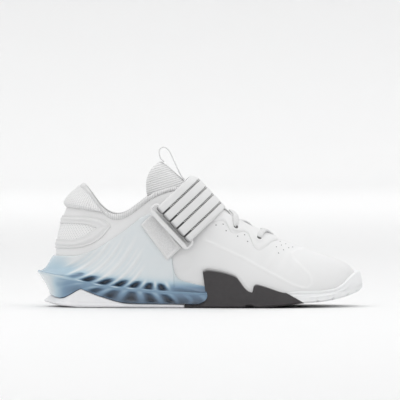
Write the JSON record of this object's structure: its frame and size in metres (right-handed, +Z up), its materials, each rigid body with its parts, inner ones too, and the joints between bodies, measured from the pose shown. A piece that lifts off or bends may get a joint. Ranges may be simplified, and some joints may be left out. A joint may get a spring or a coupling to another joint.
{
  "type": "weightlifting shoe",
  "caption": "Low white weightlifting shoe with a clear blue moulded heel, dark waist rubber, laces and one wide instep strap through a ring.",
  "frame": {"origin": "on the floor, under the middle of the shoe's length and width", "axes": "+X from heel to toe, +Y to the inner side of the foot, +Z up"},
  "size_m": [0.3034, 0.0978, 0.1486],
  "materials": {
    "upper_white": "matt, fine grain",
    "knit_white": "ribbed knit",
    "foam_white": "matt foam",
    "rubber_white": "satin",
    "rubber_dark": "matt",
    "clear_blue": "gloss, see-through blue",
    "webbing_white": "woven",
    "moulded_white": "satin"
  },
  "bodies": {
    "root": {"upper": "upper_white", "heel_counter": "upper_white", "eyestay_lateral": "upper_white", "eyestay_medial": "upper_white", "heel_tab": "knit_white", "collar_binding": "knit_white", "tongue": "knit_white", "insole": "knit_white", "midsole": "foam_white", "outsole_heel": "rubber_white", "outsole_toe": "rubber_white", "outsole_mid": "rubber_dark", "heel_clip": "clear_blue", "strap": "webbing_white", "ring_tab": "webbing_white", "tongue_loop": "webbing_white", "laces": "webbing_white", "strap_ring": "moulded_white"}
  },
  "joints": []
}
